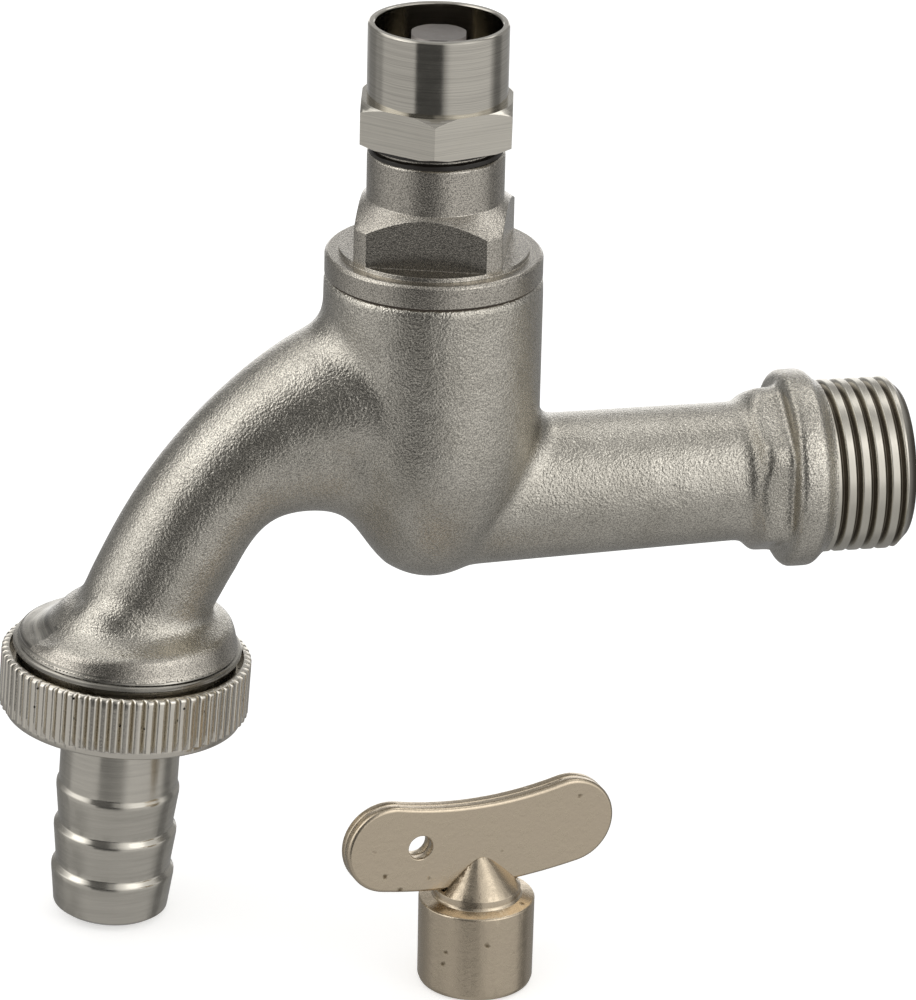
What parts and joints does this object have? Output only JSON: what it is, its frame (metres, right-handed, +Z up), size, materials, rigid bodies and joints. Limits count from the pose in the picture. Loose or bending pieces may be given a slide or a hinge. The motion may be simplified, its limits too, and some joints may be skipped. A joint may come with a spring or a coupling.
{
  "type": "bib tap with loose key",
  "caption": "Half-inch nickel-plated bib tap with hose union and barbed tail, its spindle shrouded in a sleeve, and the separate winged key that turns it.",
  "frame": {"origin": "centre of the inlet thread's root circle, in the outer face of the stop collar", "axes": "+X along the inlet thread towards the supply, +Z up along the head, spout towards -X, middle plane of the tap is XZ"},
  "size_m": [0.1099, 0.0468, 0.1113],
  "materials": {
    "blasted_nickel": "cast brass, bead blasted and satin nickel plated",
    "turned_nickel": "turned brass, bright nickel plated",
    "plain_brass": "turned brass, as machined",
    "fibre": "pressed dark fibre gasket",
    "packing": "pressed packing ring",
    "black_rubber": "moulded black rubber",
    "key_nickel": "turned brass, bright nickel plated",
    "key_plate": "stamped sheet steel, satin nickel plated"
  },
  "bodies": {
    "tap": {"tap_body": "blasted_nickel", "bonnet": "blasted_nickel", "bonnet_gasket": "fibre", "packing_washer": "plain_brass", "packing_ring_lower": "packing", "packing_ring_upper": "packing", "gland_follower": "plain_brass", "sleeve_nut": "turned_nickel"},
    "valve": {"jumper": "plain_brass", "valve_washer": "black_rubber", "valve_nut": "plain_brass"},
    "spindle": {"spindle": "plain_brass"},
    "tail": {"hose_tail": "turned_nickel", "union_washer": "black_rubber"},
    "nut": {"union_nut": "turned_nickel"},
    "key": {"key_socket": "key_nickel", "key_plate_front": "key_plate", "key_plate_back": "key_plate"}
  },
  "joints": [
    {"name": "valve_lift", "type": "slide", "parent": "tap", "child": "valve", "axis": [0, 0, 1], "range_m": [0, 0.003]},
    {"name": "spindle_turn", "type": "hinge", "parent": "valve", "child": "spindle", "pos_m": [-0.0478, 0, 0.03], "axis": [0, 0, 1], "range_deg": [0, 545]},
    {"name": "union_draw", "type": "slide", "parent": "tap", "child": "tail", "axis": [-0.0645, 0, -0.9979], "range_m": [0, 0.0032]},
    {"name": "union_turn", "type": "hinge", "parent": "tail", "child": "nut", "pos_m": [-0.0843, 0, -0.0189], "axis": [-0.0645, 0, -0.9979], "range_deg": [0, 640]},
    {"name": "key_lift", "type": "slide", "parent": "tap", "child": "key", "axis": [0, 0, 1], "range_m": [0, 0.115]}
  ],
  "couplings": [
    {"joint": "spindle_turn", "follows": "valve_lift", "rad_per_m": 3141.6},
    {"joint": "union_turn", "follows": "union_draw", "rad_per_m": 3463.2}
  ]
}
